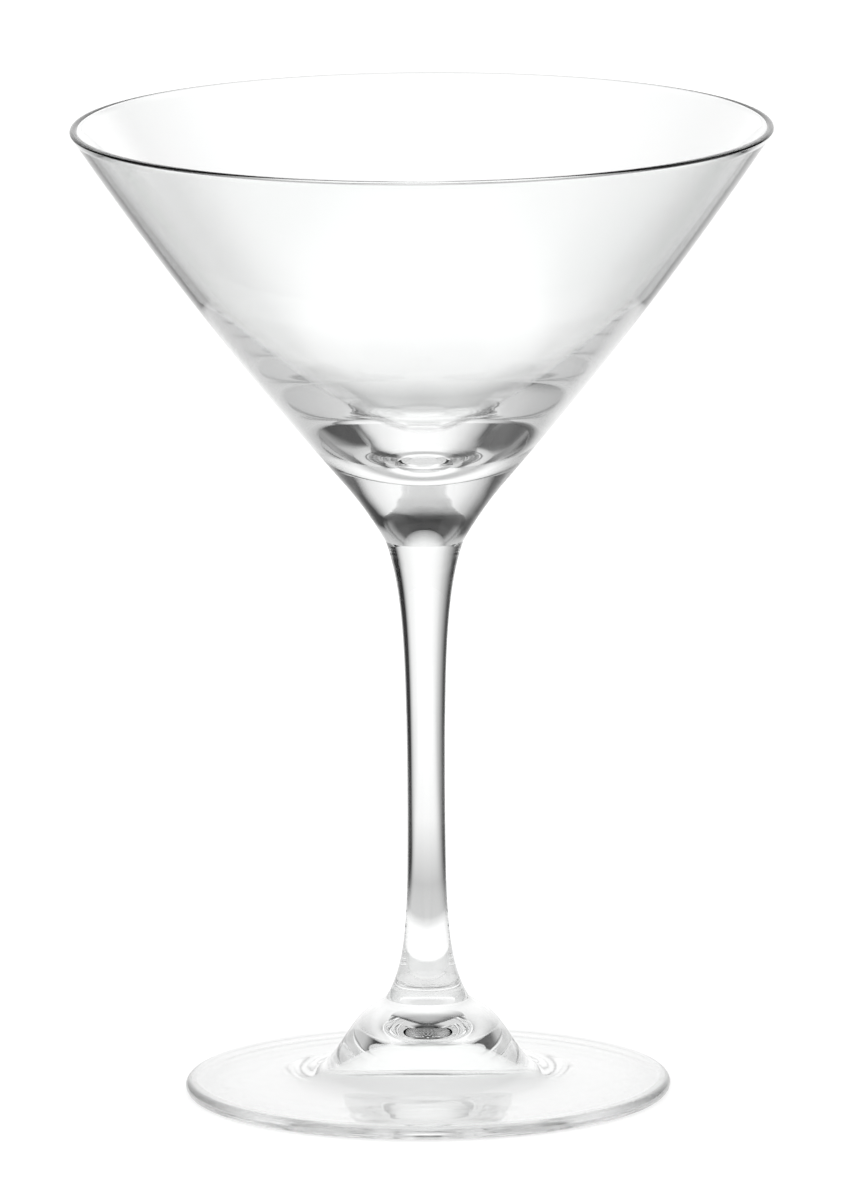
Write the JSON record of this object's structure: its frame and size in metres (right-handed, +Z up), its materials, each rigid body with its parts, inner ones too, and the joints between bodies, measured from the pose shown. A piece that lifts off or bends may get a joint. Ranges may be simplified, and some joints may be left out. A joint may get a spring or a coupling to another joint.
{
  "type": "martini glass",
  "caption": "Clear stemmed cocktail glass with a wide cone-shaped bowl, a thick solid bottom, a slim drawn stem and a flat round foot.",
  "frame": {"origin": "centre of the foot, on the table that the glass stands on", "axes": "+Z runs up the glass's own axis to the rim; the glass is round, so +X and +Y are any two square directions across it"},
  "size_m": [0.118, 0.118, 0.165],
  "materials": {
    "bowl_glass": "fire-polished clear glass",
    "stem_glass": "fire-polished clear glass",
    "foot_glass": "fire-polished clear glass"
  },
  "bodies": {
    "root": {"bowl": "bowl_glass", "stem": "stem_glass", "foot": "foot_glass"}
  },
  "joints": []
}
